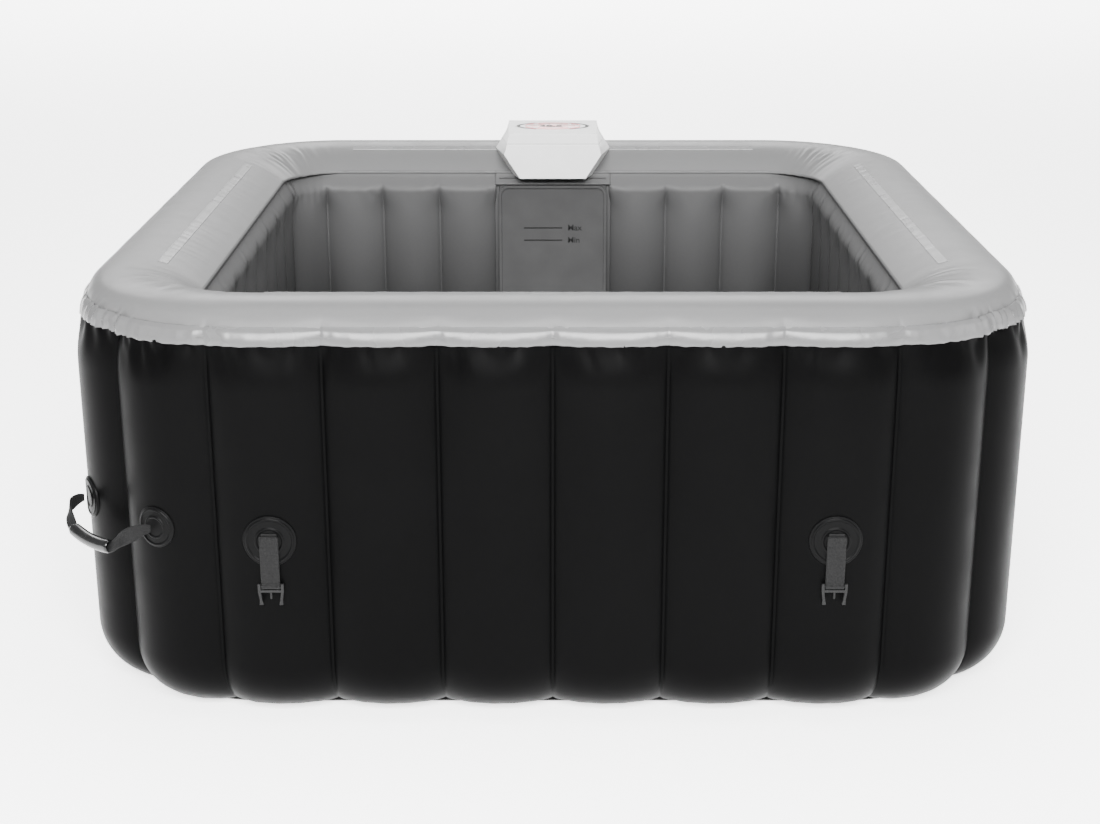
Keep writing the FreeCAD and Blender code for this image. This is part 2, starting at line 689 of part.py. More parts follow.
def hoses():
    """Four runs of tube: suction, discharge, return and air."""
    suction = [
        (SPIGOT_X, CUP_BACK + 8, FILTER_Z),
        (SPIGOT_X, 702, FILTER_Z),
        (SPIGOT_X, 702, PUMP_Z),
        (-62, 702, PUMP_Z),
    ]
    discharge = [(-45, 712, 120), (-45, 712, 312)]
    back_to_tub = [
        (NOZZLE_X, TUBE_Y, 310),
        (NOZZLE_X, TUBE_Y, NOZZLE_Z),
        (NOZZLE_X, 600, NOZZLE_Z),
    ]
    air = [
        (AIR_HOSE_X, AIR_HOSE_Y, 460),
        (AIR_HOSE_X, AIR_HOSE_Y, 300),
        (AIR_PORT_X, AIR_HOSE_Y, 300),
        (AIR_PORT_X, AIR_HOSE_Y, AIR_PORT_Z),
        (AIR_PORT_X, 538, AIR_PORT_Z),
    ]
    runs = {
        "suction_hose": (HOSE_R, HOSE_BORE, suction),
        "discharge_hose": (HOSE_R, HOSE_BORE, discharge),
        "return_hose": (HOSE_R, HOSE_BORE, back_to_tub),
        "air_hose": (AIR_HOSE_R, AIR_HOSE_BORE, air),
    }
    joined = ("pump_body", "heater_tube", "blower_body", "filter_cup", "bubble_ring")
    neighbours = [SAVED[name] for name in joined]
    for name, (radius, bore, points) in runs.items():
        route = [V(*p) for p in points]
        outside = rod(radius, route[0], route[1])
        inside = rod(bore, route[0], route[1])
        for a, b in zip(route[1:], route[2:]):
            outside = outside.fuse(Part.makeSphere(radius, a)).fuse(rod(radius, a, b))
            inside = inside.fuse(Part.makeSphere(bore, a)).fuse(rod(bore, a, b))
        hose = outside.cut(inside)
        for other in neighbours:
            hose = hose.cut(other)
        save(name, max(hose.Solids, key=lambda s: s.Volume))


# ---- valves on the back wall ------------------------------------------------------------
def plain_column(middle, z):
    """The straight part of one outer column, round a height."""
    sections = [(z - 110, 0, OUTER_BULGE), (z + 110, 0, OUTER_BULGE)]
    return column(OUTER, middle - 0.5, sections, OUTER_BACK)


def valves():
    flange = rod(VALVE_FLANGE_R, V(0, 2, 0), V(0, -5, 0))
    body = flange.fuse(rod(VALVE_NECK_R, V(0, -5, 0), V(0, -14, 0)))
    body = body.cut(rod(VALVE_BORE, V(0, 3, 0), V(0, -20, 0)))
    body = body.fuse(tube(VALVE_BORE + 1, 5.5, V(0, -6.2, 0), V(0, -8, 0)))
    ear = block((-5, -14, 19), (5, -5, 23))
    point, normal = OUTER.at(VALVE_PANEL, OUTER_BULGE)
    wall = plain_column(VALVE_PANEL, VALVE_Z)
    body = face_to(one(body.fuse(ear)), point, normal, VALVE_Z).cut(wall)
    save("air_valve_body", max(body.Solids, key=lambda s: s.Volume))

    stem = rod(9, V(0, -4.6, 0), V(0, -6, 0)).fuse(rod(2.2, V(0, -5, 0), V(0, -9.4, 0)))
    save("air_valve_stem", face_to(one(stem), point, normal, VALVE_Z))

    near, far = -VALVE_HINGE_OUT + 2, -VALVE_HINGE_OUT - 2
    plug = rod(VALVE_BORE - 1, V(0, -10, 0), V(0, -16, 0))
    lid = rod(VALVE_LID_R, V(0, near, 0), V(0, far, 0)).fuse(plug)
    arm = block((-4.6, far, 12), (4.6, near, VALVE_HINGE_Z))
    pin = V(4.6, -VALVE_HINGE_OUT, VALVE_HINGE_Z)
    knuckle = rod(VALVE_KNUCKLE_R, pin, pin - V(9.2, 0, 0))
    save("air_valve_cap", face_to(one(lid.fuse(arm).fuse(knuckle)), point, normal, VALVE_Z))

    point, normal = OUTER.at(DRAIN_PANEL, OUTER_BULGE)
    body = rod(26, V(0, 2, 0), V(0, -4, 0))
    body = body.fuse(rod(DRAIN_THREAD_R, V(0, -4, 0), V(0, -13, 0)))
    body = body.cut(rod(DRAIN_BORE, V(0, 3, 0), V(0, -20, 0)))
    body = face_to(body, point, normal, DRAIN_Z).cut(plain_column(DRAIN_PANEL, DRAIN_Z))
    save("drain_valve_body", max(body.Solids, key=lambda s: s.Volume))

    cap = rod(DRAIN_CAP_R, V(0, -4.5, 0), V(0, -18, 0))
    cap = cap.cut(rod(DRAIN_THREAD_R + 0.4, V(0, -3, 0), V(0, -13.5, 0)))
    ring = DRAIN_CAP_R + 0.4
    for n in range(CAP_GROOVES):
        angle = math.radians(360 / CAP_GROOVES * n)
        groove = V(ring * math.cos(angle), -20, ring * math.sin(angle))
        cap = cap.cut(rod(1.2, groove, groove + V(0, 20, 0)))
    save("drain_cap", face_to(one(cap), point, normal, DRAIN_Z))


# ---- control head -----------------------------------------------------------------------
def head_outline(z, inset=0.0):
    """The head's six-cornered outline at a height, blended between the stated ones."""
    for (low, a), (high, b) in zip(HEAD_OUTLINES, HEAD_OUTLINES[1:]):
        if low <= z <= high:
            t = (z - low) / (high - low)
            half = [(p[0] + (q[0] - p[0]) * t, p[1] + (q[1] - p[1]) * t) for p, q in zip(a, b)]
    push = (inset, 0.0, -inset)
    right = [(x - inset, y + dy) for (x, y), dy in zip(half, push)]
    left = [(-x, y) for x, y in reversed(right)]
    return polygon([V(x, y, z) for x, y in right + left])


def lens_oval(scale, low, high):
    major, minor = LENS_HALF
    oval = Part.Ellipse(V(0, LENS_Y, low), major * scale, minor * scale).toShape()
    return Part.Face(Part.Wire(oval)).extrude(V(0, 0, high - low))


def control_head():
    middle = HEAD_OUTLINES[1][0]
    base = loft([head_outline(HEAD_LOW), head_outline(middle), head_outline(HEAD_SPLIT)])
    room = loft(
        [
            head_outline(HEAD_LOW + HEAD_WALL, HEAD_WALL),
            head_outline(middle, HEAD_WALL),
            head_outline(HEAD_SPLIT, HEAD_WALL),
        ]
    )
    neck = block((-24, 621, HEAD_LOW - 5), (24, 669, HEAD_LOW + 10))
    save("head_base", one(base.cut(room).cut(neck)))

    seal = loft([head_outline(HEAD_SPLIT), head_outline(HEAD_SPLIT + 1.5)])
    seal = seal.cut(
        loft([head_outline(HEAD_SPLIT, HEAD_WALL), head_outline(HEAD_SPLIT + 1.5, HEAD_WALL)])
    )
    save("head_gasket", one(seal))

    low = HEAD_SPLIT + 1.5
    cover = loft([head_outline(low), head_outline(HEAD_TOP)])
    hollow = loft([head_outline(low, HEAD_WALL), head_outline(HEAD_TOP - HEAD_WALL, HEAD_WALL)])
    cover = cover.cut(hollow)
    for x in (-74, 74):
        for dy in (-52, 52):
            post = V(x, LENS_Y + dy, 0)
            cover = cover.fuse(rod(4, post + UP * 717.6, post + UP * (HEAD_TOP - 2)))
    cover = cover.cut(lens_oval(1.0, HEAD_TOP - 1.0, HEAD_TOP + 1))
    lens = lens_oval(0.997, HEAD_TOP - 1.0, HEAD_TOP + 0.6)
    window = block((-26, LENS_Y - 11, HEAD_TOP - 5), (26, LENS_Y + 11, HEAD_TOP - 1.0))
    cover = cover.cut(window)
    for name, (x, dy) in KEY_PLACES.items():
        y = LENS_Y + dy
        hole = rod(KEY_R + KEY_GAP, V(x, y, HEAD_TOP - 6), V(x, y, HEAD_TOP + 3))
        cover = cover.cut(hole)
        lens = lens.cut(hole)
        save(name, rod(KEY_R, V(x, y, HEAD_TOP - 5), V(x, y, HEAD_TOP + 1.4)))
    save("head_cover", one(cover))
    save("head_lens", one(lens))

    board = block((-82, LENS_Y - 60, 716), (82, LENS_Y + 60, 717.6))
    save("head_circuit_board", board)
    module = block((-25, LENS_Y - 10, 717.6), (25, LENS_Y + 10, HEAD_TOP - 1.2))
    save("head_display", module)


# ---- build ------------------------------------------------------------------------------
outer_wall()
inner_wall()
sheets()
top_rim()
rim_skirt()
bubble_ring()
handles()
buckles()
unit_casing()
unit_front_panel()
unit_door()
cable_gland()
filter_set()
return_nozzle()
pump()
heater()
blower()
hoses()
valves()
control_head()
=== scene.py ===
import json
import math

import bmesh
import bpy
import numpy as np
from mathutils import Matrix, Vector


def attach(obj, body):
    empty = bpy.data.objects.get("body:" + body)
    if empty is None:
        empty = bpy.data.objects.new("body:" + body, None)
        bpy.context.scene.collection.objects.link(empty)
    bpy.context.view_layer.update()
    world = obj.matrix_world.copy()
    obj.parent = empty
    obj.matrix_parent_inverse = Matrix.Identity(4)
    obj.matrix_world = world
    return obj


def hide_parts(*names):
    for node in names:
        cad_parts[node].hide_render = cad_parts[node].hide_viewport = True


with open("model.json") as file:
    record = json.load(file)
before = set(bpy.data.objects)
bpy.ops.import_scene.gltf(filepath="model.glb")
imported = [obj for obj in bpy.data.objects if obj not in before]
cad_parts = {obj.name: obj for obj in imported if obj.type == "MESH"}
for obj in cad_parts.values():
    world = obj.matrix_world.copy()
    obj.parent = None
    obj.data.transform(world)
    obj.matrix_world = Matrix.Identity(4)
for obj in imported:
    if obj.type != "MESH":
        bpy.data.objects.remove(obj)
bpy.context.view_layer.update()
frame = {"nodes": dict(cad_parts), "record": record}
NODES = frame["nodes"]
MM = 0.001

# ---- driving dimensions, in millimetres --------------------------------------------------
OUTER = {"half": 763.0, "corner": 286.0, "panels": 32}
INNER = {"half": 587.0, "corner": 100.0, "panels": 36}
OUTER_BULGE = 27.0
INNER_BULGE = 26.0
BOTTOM_ROUND = 102.0
SHOULDER_Z = 555.0
BAND_LOW = 628.5
BAND_HIGH = 656.0
RIM_EDGE_HALF = 581.0
RIM_EDGE_CORNER = 122.0
UNIT_PANELS_OUT = (15, 17)
UNIT_PANELS_IN = (17, 19)
UNIT_MIDDLE_IN = 18.0
WALL_TOP = 644.0
INNER_TOP = 642.5
CREST_HALF = 650.0
RIM_PROFILE = [
    # half width at the crown of a panel, height
    (774.0, 640.0),
    (769.5, 646.0),
    (765.5, 654.0),
    (760.0, 664.0),
    (752.0, 674.0),
    (741.0, 681.5),
    (722.0, 686.6),
    (701.0, 688.4),
    (680.0, 687.0),
    (655.0, 681.6),
    (630.0, 672.0),
    (608.0, 660.0),
    (592.0, 649.5),
    (581.0, 641.5),
]
HANDLE_Z = 330.0
HANDLE_CORNERS = {"front": -4.0, "rear": 12.0}
HANDLE_PATCH_R = 34.0
GRIP_OUT, GRIP_DROP, GRIP_HALF, GRIP_R, GRIP_BORE = 47.5, 29.0, 54.0, 10.9, 8.4
BUCKLE_Z = 320.0
BUCKLE_PANEL = 2.5
BUCKLE_PATCH_R = 42.0
BUCKLES = {
    "front_left": -BUCKLE_PANEL,
    "front_right": BUCKLE_PANEL,
    "rear_right": 16 - BUCKLE_PANEL,
    "rear_left": 16 + BUCKLE_PANEL,
}
STRAP_HALF = 14.8
CLIP_BAR_Z, CLIP_BAR_R = -73.0, 3.6
AIR_RING = {"half": 530.0, "corner": 70.0, "panels": 32}
AIR_RING_Z = 18.2
FILTER_X, FILTER_Z = -42.0, 230.0
PANEL_FACE_Y = 568.8
LENS = (0.0, 648.0)
LENS_TOP = 730.62
PRINT_FIELD = (62, 43)
PRINT_RING = ((66, 46), (62, 42.4))
PRINT_ARCS = ((81, 50), (73, 44))

# how finely the skins are sampled
OUTER_SAMPLES = 34
INNER_SAMPLES = 24
RIM_ROWS = 70
BAND_ROWS = 14


# ---- camera and studio -------------------------------------------------------------------
def camera():
    data = bpy.data.cameras.new("camera")
    data.lens = 59.03
    data.sensor_width = 36.0
    data.shift_x = -0.0025
    data.clip_end = 100
    obj = bpy.data.objects.new("camera", data)
    obj.location = (0.0, -3.380, 1.381)
    obj.rotation_euler = (math.radians(90 - 18.185), 0, 0)
    bpy.context.scene.collection.objects.link(obj)
    bpy.context.scene.camera = obj


def area_light(name, place, target, size, power):
    data = bpy.data.lights.new(name, "AREA")
    data.shape = "RECTANGLE"
    data.size, data.size_y = size
    data.energy = power
    obj = bpy.data.objects.new(name, data)
    obj.location = place
    aim = Vector(target) - Vector(place)
    obj.rotation_euler = aim.to_track_quat("-Z", "Y").to_euler()
    bpy.context.scene.collection.objects.link(obj)


def studio():
    world = bpy.data.worlds.new("studio")
    world.use_nodes = True
    back = world.node_tree.nodes["Background"]
    back.inputs["Color"].default_value = (1, 1, 1, 1)
    back.inputs["Strength"].default_value = 0.7
    bpy.context.scene.world = world
    area_light("ceiling_softbox", (0, -0.2, 4.2), (0, 0, 0), (3.0, 3.0), 210)
    area_light("left_softbox", (-4.2, -1.6, 2.3), (0, 0, 0.4), (1.6, 2.6), 25)
    area_light("right_softbox", (4.2, -1.4, 2.3), (0, 0, 0.4), (1.6, 2.6), 75)
    area_light("front_softbox", (0, -5.0, 3.4), (0, 0, 0.3), (4.0, 1.6), 1400)
    area_light("backdrop_wash", (0, 13, 7), (0, 13, 0), (16, 9), 5200)

    bpy.ops.mesh.primitive_plane_add(size=80, location=(0, 0, -0.001))
    floor = bpy.context.object
    floor.name = "studio_floor"
    mat = bpy.data.materials.new("studio_floor")
    mat.use_nodes = True
    shader = mat.node_tree.nodes["Principled BSDF"]
    shader.inputs["Base Color"].default_value = (0.96, 0.96, 0.96, 1)
    shader.inputs["Roughness"].default_value = 0.9
    shader.inputs["Emission Color"].default_value = (1, 1, 1, 1)
    shader.inputs["Emission Strength"].default_value = 2.2
    floor.data.materials.append(mat)


# ---- materials ---------------------------------------------------------------------------
class Surface:
    """A Principled material with small helpers for its node tree."""

    def __init__(self, name, **sockets):
        self.mat = bpy.data.materials.new(name)
        self.mat.use_nodes = True
        self.tree = self.mat.node_tree
        self.shader = self.tree.nodes["Principled BSDF"]
        self.coord = self.tree.nodes.new("ShaderNodeTexCoord")
        self.height = None
        for key, value in sockets.items():
            self.shader.inputs[key.replace("_", " ")].default_value = value

    def node(self, kind, **values):
        node = self.tree.nodes.new(kind)
        for key, value in values.items():
            if key in node.inputs:
                node.inputs[key].default_value = value
            else:
                setattr(node, key, value)
        return node

    def link(self, a, b):
        self.tree.links.new(a, b)

    def noise(self, scale, detail, rough=0.5, stretch=(1, 1, 1)):
        place = self.node("ShaderNodeMapping")
        place.inputs["Scale"].default_value = stretch
        self.link(self.coord.outputs["Object"], place.inputs["Vector"])
        node = self.node("ShaderNodeTexNoise", Scale=scale, Detail=detail, Roughness=rough)
        self.link(place.outputs["Vector"], node.inputs["Vector"])
        return node.outputs["Fac"]

    def cells(self, scale):
        node = self.node("ShaderNodeTexVoronoi", Scale=scale)
        self.link(self.coord.outputs["Object"], node.inputs["Vector"])
        return node.outputs["Distance"]

    def math(self, kind, a, b=None):
        node = self.node("ShaderNodeMath", operation=kind)
        for index, value in enumerate((a, b)):
            if value is None:
                continue
            if isinstance(value, (int, float)):
                node.inputs[index].default_value = value
            else:
                self.link(value, node.inputs[index])
        return node.outputs[0]

    def ramp(self, value, low, high, a, b):
        node = self.node("ShaderNodeMapRange")
        self.link(value, node.inputs["Value"])
        for key, v in (("From Min", low), ("From Max", high), ("To Min", a), ("To Max", b)):
            node.inputs[key].default_value = v
        return node.outputs["Result"]

    def colour(self, value, *stops):
        """Base colour from a ramp of (position, (r, g, b))."""
        node = self.node("ShaderNodeValToRGB")
        ramp = node.color_ramp
        while len(ramp.elements) < len(stops):
            ramp.elements.new(0.5)
        for element, (place, rgb) in zip(ramp.elements, stops):
            element.position = place
            element.color = (*rgb, 1)
        self.link(value, node.inputs["Fac"])
        self.link(node.outputs["Color"], self.shader.inputs["Base Color"])
        return self

    def rough(self, value, low, high):
        self.link(self.ramp(value, 0.3, 0.7, low, high), self.shader.inputs["Roughness"])
        return self

    def bump(self, value, depth, strength):
        node = self.node("ShaderNodeBump", Strength=strength, Distance=depth)
        self.link(value, node.inputs["Height"])
        if self.height is not None:
            self.link(self.height, node.inputs["Normal"])
        self.height = node.outputs["Normal"]
        self.link(self.height, self.shader.inputs["Normal"])
        return self


def vinyl(name, dark, light, rough, grain=900.0, depth=0.00012, swell=0.0015, shine=0.35, fade=None):
    """Laminated vinyl: fine leather-like grain, a slow swell, slight scuffing."""
    s = Surface(name, Specular_IOR_Level=shine)
    mottle = s.noise(2.3, 4.0, 0.6)
    fine = s.noise(160.0, 2.0)
    mix = s.math("ADD", s.math("MULTIPLY", mottle, 0.8), s.math("MULTIPLY", fine, 0.2))
    # fade gives painted shade: the colour lightens with height between the two given heights, so the lower
    # wall reads as shaded and the top as lit from above
    if fade:
        parts = s.node("ShaderNodeSeparateXYZ")
        s.link(s.coord.outputs["Object"], parts.inputs[0])
        height = s.ramp(parts.outputs["Z"], *fade, 0.25, 0.62)
        mix = s.math("ADD", s.math("MULTIPLY", mix, 0.16), height)
    s.colour(mix, (0.3, dark), (0.7, light))
    s.rough(s.noise(14.0, 3.0), *rough)
    s.bump(s.noise(5.0, 2.0), swell, 0.5)
    s.bump(s.cells(grain), depth, 0.6)
    return s.mat


def moulded(name, dark, light, rough, grain=1400.0, depth=0.00006, edge=0.0, **sockets):
    """Moulded plastic: fine spark-eroded texture, faint flow marks, edges shaded as rounded."""
    s = Surface(name, **sockets)
    if edge:
        s.height = s.node("ShaderNodeBevel", Radius=edge).outputs["Normal"]
    s.colour(s.noise(18.0, 3.0), (0.3, dark), (0.7, light))
    s.rough(s.noise(60.0, 3.0), *rough)
    s.bump(s.noise(grain, 2.0), depth, 0.5)
    return s.mat


def metal(name, base):
    s = Surface(name, Metallic=1.0, Anisotropic=0.4)
    s.colour(s.noise(30.0, 2.0, stretch=(1, 1, 12)), (0.3, base), (0.7, tuple(c * 1.2 for c in base)))
    s.rough(s.noise(200.0, 2.0, stretch=(1, 1, 20)), 0.24, 0.38)
    s.bump(s.noise(600.0, 1.0, stretch=(1, 1, 30)), 0.00003, 0.5)
    return s.mat


def webbing(name, dark, light):
    s = Surface(name, Roughness=0.7, Specular_IOR_Level=0.12, Sheen_Weight=0.02)
    s.colour(s.noise(420.0, 3.0), (0.3, dark), (0.7, light))
    s.bump(s.noise(2600.0, 2.0, stretch=(1, 1, 3)), 0.00015, 0.8)
    return s.mat


def materials():
    m = {}
    m["outer"] = vinyl(
        "outer_vinyl", (0.0008, 0.0008, 0.00084), (0.0012, 0.0012, 0.00124), (0.33, 0.43), shine=0.02
    )
    m["patch"] = vinyl(
        "patch_vinyl", (0.0012, 0.0012, 0.00125), (0.0018, 0.0018, 0.00185), (0.34, 0.42),
        grain=1200.0, depth=0.0001, swell=0.0, shine=0.04,
    )
    fine = {"grain": 700.0, "depth": 0.00006, "swell": 0.001}
    m["rim"] = vinyl(
        "rim_vinyl", (0.078, 0.078, 0.0784), (0.088, 0.088, 0.0884), (0.32, 0.40), shine=0.09, **fine
    )
    # painted highlight: the crest strip is coloured lighter than the rim vinyl to stand for a long
    # softbox's reflection along the crest; its glossier finish is real
    m["crest"] = vinyl(
        "crest_painted_highlight", (0.092, 0.092, 0.0924), (0.112, 0.112, 0.1125), (0.24, 0.32),
        grain=500.0, depth=0.0001, swell=0.001, shine=0.16,
    )
    m["band"] = vinyl(
        "band_vinyl", (0.072, 0.072, 0.0725), (0.082, 0.082, 0.0825), (0.22, 0.30), shine=0.26, **fine
    )
    # painted shade: the inner wall is coloured darker low down and lighter towards the rim, standing for
    # the shade inside the tub
    m["inner"] = vinyl(
        "inner_vinyl", (0.0125, 0.0125, 0.0127), (0.056, 0.056, 0.0564), (0.36, 0.45),
        shine=0.08, fade=(0.30, 0.63), **fine,
    )
    m["sheet"] = vinyl(
        "sheet_vinyl", (0.055, 0.055, 0.0555), (0.066, 0.066, 0.0665), (0.4, 0.5), grain=500.0
    )
    m["tube"] = moulded("soft_tube", (0.22, 0.225, 0.23), (0.27, 0.275, 0.28), (0.3, 0.4))
    m["webbing"] = webbing("black_webbing", (0.0016, 0.0016, 0.0017), (0.0048, 0.0048, 0.0049))
    m["grip"] = moulded(
        "gloss_grip", (0.002, 0.002, 0.0021), (0.004, 0.004, 0.0041), (0.2, 0.28),
        grain=300.0, depth=0.00004, Specular_IOR_Level=0.3,
    )
    m["black"] = moulded(
        "black_plastic", (0.003, 0.003, 0.0031), (0.005, 0.005, 0.0051), (0.38, 0.5),
        edge=0.0012, Specular_IOR_Level=0.15,
    )
    m["white"] = moulded(
        "white_plastic", (0.54, 0.54, 0.54), (0.58, 0.58, 0.58), (0.30, 0.38), depth=0.00003, edge=0.0025
    )
    m["grey"] = moulded(
        "grey_plastic", (0.034, 0.034, 0.0343), (0.041, 0.041, 0.0413), (0.36, 0.46),
        grain=900.0, edge=0.002, Specular_IOR_Level=0.12,
    )
    m["media"] = moulded(
        "filter_media", (0.40, 0.40, 0.39), (0.50, 0.50, 0.49), (0.8, 0.9), grain=500.0, depth=0.0004
    )
    m["seal"] = moulded("seal_rubber", (0.50, 0.50, 0.50), (0.56, 0.56, 0.56), (0.5, 0.6))
    m["board"] = moulded("circuit_board", (0.01, 0.10, 0.04), (0.02, 0.15, 0.06), (0.3, 0.4))
    m["steel"] = metal("steel", (0.52, 0.52, 0.53))
    # black ink for the print, also used on the bubble ring's holes as painted shade
    m["ink_and_hole_shade"] = moulded(
        "black_ink_and_hole_shade", (0.004, 0.004, 0.004), (0.008, 0.008, 0.008), (0.5, 0.6), Specular_IOR_Level=0.2
    )
    m["pink"] = moulded("pink_ink", (0.62, 0.05, 0.08), (0.68, 0.08, 0.11), (0.3, 0.4))
    m["blush"] = moulded("blush_ink", (0.60, 0.38, 0.38), (0.66, 0.44, 0.44), (0.25, 0.35))
    return m


M = materials()


# ---- mesh helpers ------------------------------------------------------------------------
def mesh_object(name, verts, faces, material):
    """A mesh from points in millimetres."""
    mesh = bpy.data.meshes.new(name)
    mesh.from_pydata((np.asarray(verts, float) * MM).tolist(), [], faces)
    mesh.materials.append(material)
    mesh.polygons.foreach_set("use_smooth", [True] * len(mesh.polygons))
    mesh.update()
    obj = bpy.data.objects.new(name, mesh)
    bpy.context.scene.collection.objects.link(obj)
    return obj


def outward(obj):
    bm = bmesh.new()
    bm.from_mesh(obj.data)
    bmesh.ops.recalc_face_normals(bm, faces=bm.faces)
    bm.to_mesh(obj.data)
    bm.free()
    return obj


def grid_faces(rows, columns, wrap_rows, wrap_columns, caps, start=0):
    index = start + np.arange(rows * columns).reshape(rows, columns)
    r = np.arange(rows if wrap_rows else rows - 1)
    c = np.arange(columns if wrap_columns else columns - 1)
    r1, c1 = (r + 1) % rows, (c + 1) % columns
    pairs = ((r, c), (r, c1), (r1, c1), (r1, c))
    faces = np.stack([index[np.ix_(i, j)] for i, j in pairs], -1).reshape(-1, 4).tolist()
    if caps:
        faces.append(index[:, 0].tolist())
        faces.append(index[::-1, -1].tolist())
    return faces


def grids(name, surfaces, material, wrap_rows=False, wrap_columns=False, caps=False):
    """One mesh from several surfaces of points[row][column], whose ends may close."""
    verts, faces, start = [], [], 0
    for points in surfaces:
        rows, columns = points.shape[:2]
        faces += grid_faces(rows, columns, wrap_rows, wrap_columns, caps, start)
        verts.append(points.reshape(-1, 3))
        start += rows * columns
    return outward(mesh_object(name, np.vstack(verts), faces, material))


def grid(name, points, material, **ends):
    return grids(name, [points], material, **ends)


def unit(vectors):
    return vectors / np.linalg.norm(vectors, axis=-1, keepdims=True)


def pipe(path, radius, sides=20, closed=False):
    """Points of a round tube about a path, as rows round the tube and columns along it."""
    path = np.asarray(path, float)
    if closed:
        ahead = np.roll(path, -1, 0) - np.roll(path, 1, 0)
    else:
        ahead = np.gradient(path, axis=0)
    along = unit(ahead)
    across = unit(np.cross(along, np.array((0.0, 0.0, 1.0))))
    lift = np.cross(across, along)
    angle = np.linspace(0, 2 * np.pi, sides, endpoint=False)[:, None, None]
    size = np.broadcast_to(np.asarray(radius, float), len(path))[None, :, None]
    return path + size * (np.cos(angle) * across + np.sin(angle) * lift)


def web(centres, side, half_width, thick, cell=(5.0, 6.5), depth=0.45):
    """Points of a woven strap along a path; side is its width direction at every station."""
    centres, side = np.asarray(centres, float), unit(np.asarray(side, float))
    along = unit(np.gradient(centres, axis=0))
    side = unit(side - along * (side * along).sum(-1, keepdims=True))
    face = np.cross(along, side)
    gone = np.linalg.norm(np.diff(centres, axis=0), axis=1)
    run = np.concatenate([[0], np.cumsum(gone)])
    width = np.broadcast_to(np.asarray(half_width, float), len(centres))
    across = np.linspace(-1, 1, 31)
    loop = np.concatenate([across, across[::-1]])
    top = np.concatenate([np.ones(31), -np.ones(31)])
    u = loop[:, None] * width[None, :]
    rows = np.abs(np.sin(np.pi * run[None, :] / cell[1]))
    columns = np.abs(np.sin(np.pi * (u / cell[0] + 0.5)))
    rib = depth * (rows * columns) ** 0.6
    edge = np.clip((1 - np.abs(loop)) * 12, 0.15, 1)[:, None]
    out = top[:, None] * (thick / 2 * edge + rib * edge)
    return centres[None] + side[None] * u[..., None] + face[None] * out[..., None]


def place_on(obj, body, slot, *nodes, fill=None):
    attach(obj, body)
    if nodes:
        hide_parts(*nodes)
    return obj


def curve_through(points, count):
    """A smooth line through 2-D or 3-D points, sampled evenly in its parameter."""
    p = np.asarray(points, float)
    p = np.vstack([2 * p[0] - p[1], p, 2 * p[-1] - p[-2]])
    t = np.linspace(0, len(p) - 3, count)
    k = np.minimum(t.astype(int), len(p) - 4)
    f = (t - k)[:, None]
    a, b, c, d = p[k], p[k + 1], p[k + 2], p[k + 3]
    bend, twist = 2 * a - 5 * b + 4 * c - d, 3 * b - a - 3 * c + d
    return 0.5 * (2 * b + (c - a) * f + bend * f**2 + twist * f**3)


def smooth_step(x, low, high):
    t = np.clip((x - low) / (high - low), 0, 1)
    return t * t * (3 - 2 * t)


# ---- the rounded square that everything follows -------------------------------------------
def ring(walk, spec, half=None, corner=None, out=0.0):
    """Points and normals at so many panels along a seam curve, which may be shrunk to another."""
    flat = spec["half"] - spec["corner"]
    quarter = 2 * flat + spec["corner"] * math.pi / 2
    along = np.asarray(walk, float) * (4 * quarter / spec["panels"]) + quarter / 2
    side = np.floor(along / quarter)
    along = along - side * quarter - quarter / 2
    bend = np.sign(along) * np.maximum(0, np.abs(along) - flat) / spec["corner"]
    reach = np.clip(along, -flat, flat) / flat
    half = spec["half"] if half is None else half
    corner = spec["corner"] if corner is None else corner
    nx, ny = np.sin(bend), -np.cos(bend)
    x = reach * (half - corner) + nx * (corner + out)
    y = -(half - corner) + ny * (corner + out)
    turn = side * math.pi / 2
    cos, sin = np.cos(turn), np.sin(turn)
    return (
        np.stack([x * cos - y * sin, x * sin + y * cos], -1),
        np.stack([nx * cos - ny * sin, nx * sin + ny * cos], -1),
    )


def cornerness(walk, spec):
    """0 on the straight sides, 1 in the middle of the corners."""
    quarter = spec["panels"] / 4
    along = np.abs((np.asarray(walk, float) + quarter / 2) % quarter - quarter / 2)
    flat = 2 * (spec["half"] - spec["corner"])
    side = flat + spec["corner"] * math.pi / 2
    return smooth_step(along, quarter / 2 * flat / side, quarter / 2)


def hump(walk):
    """How far out a panel bellies, 0 at its seams and 1 in its middle."""
    x = 2 * (np.asarray(walk, float) % 1) - 1
    return 0.62 * (1 - x * x) + 0.38 * np.sqrt(np.clip(1 - x * x, 0, 1))


def panel_steps(first, last, per_panel):
    """Places along the panels, closer together towards every seam."""
    t = (1 - np.cos(np.pi * np.arange(per_panel) / per_panel)) / 2
    t = 0.5 * t + 0.5 * np.arange(per_panel) / per_panel
    return (np.arange(first, last)[:, None] + t).ravel()


def wrinkles(seed, spec, depth, width, spacing):
    """Random narrow folds across a line: its length, and (place, width, depth, lean, reach) of each."""
    rng = np.random.RandomState(seed)
    flat = spec["half"] - spec["corner"]
    total = 4 * (2 * flat + spec["corner"] * math.pi / 2)
    places, s = [], 0.0
    while s < total:
        panel = s / total * spec["panels"]
        near_seam = 1 - hump(panel)
        corner = float(cornerness(panel, spec))
        s += spacing * (1 - 0.6 * max(near_seam * 0.6, corner)) * rng.uniform(0.5, 1.5)
        places.append(
            (
                s,
                width * rng.uniform(0.6, 1.6),
                depth * rng.uniform(0.3, 1.0) * (1 + 1.2 * corner),
                rng.uniform(-0.35, 0.35),
                rng.uniform(0.5, 1.3),
            )
        )
    return total, places


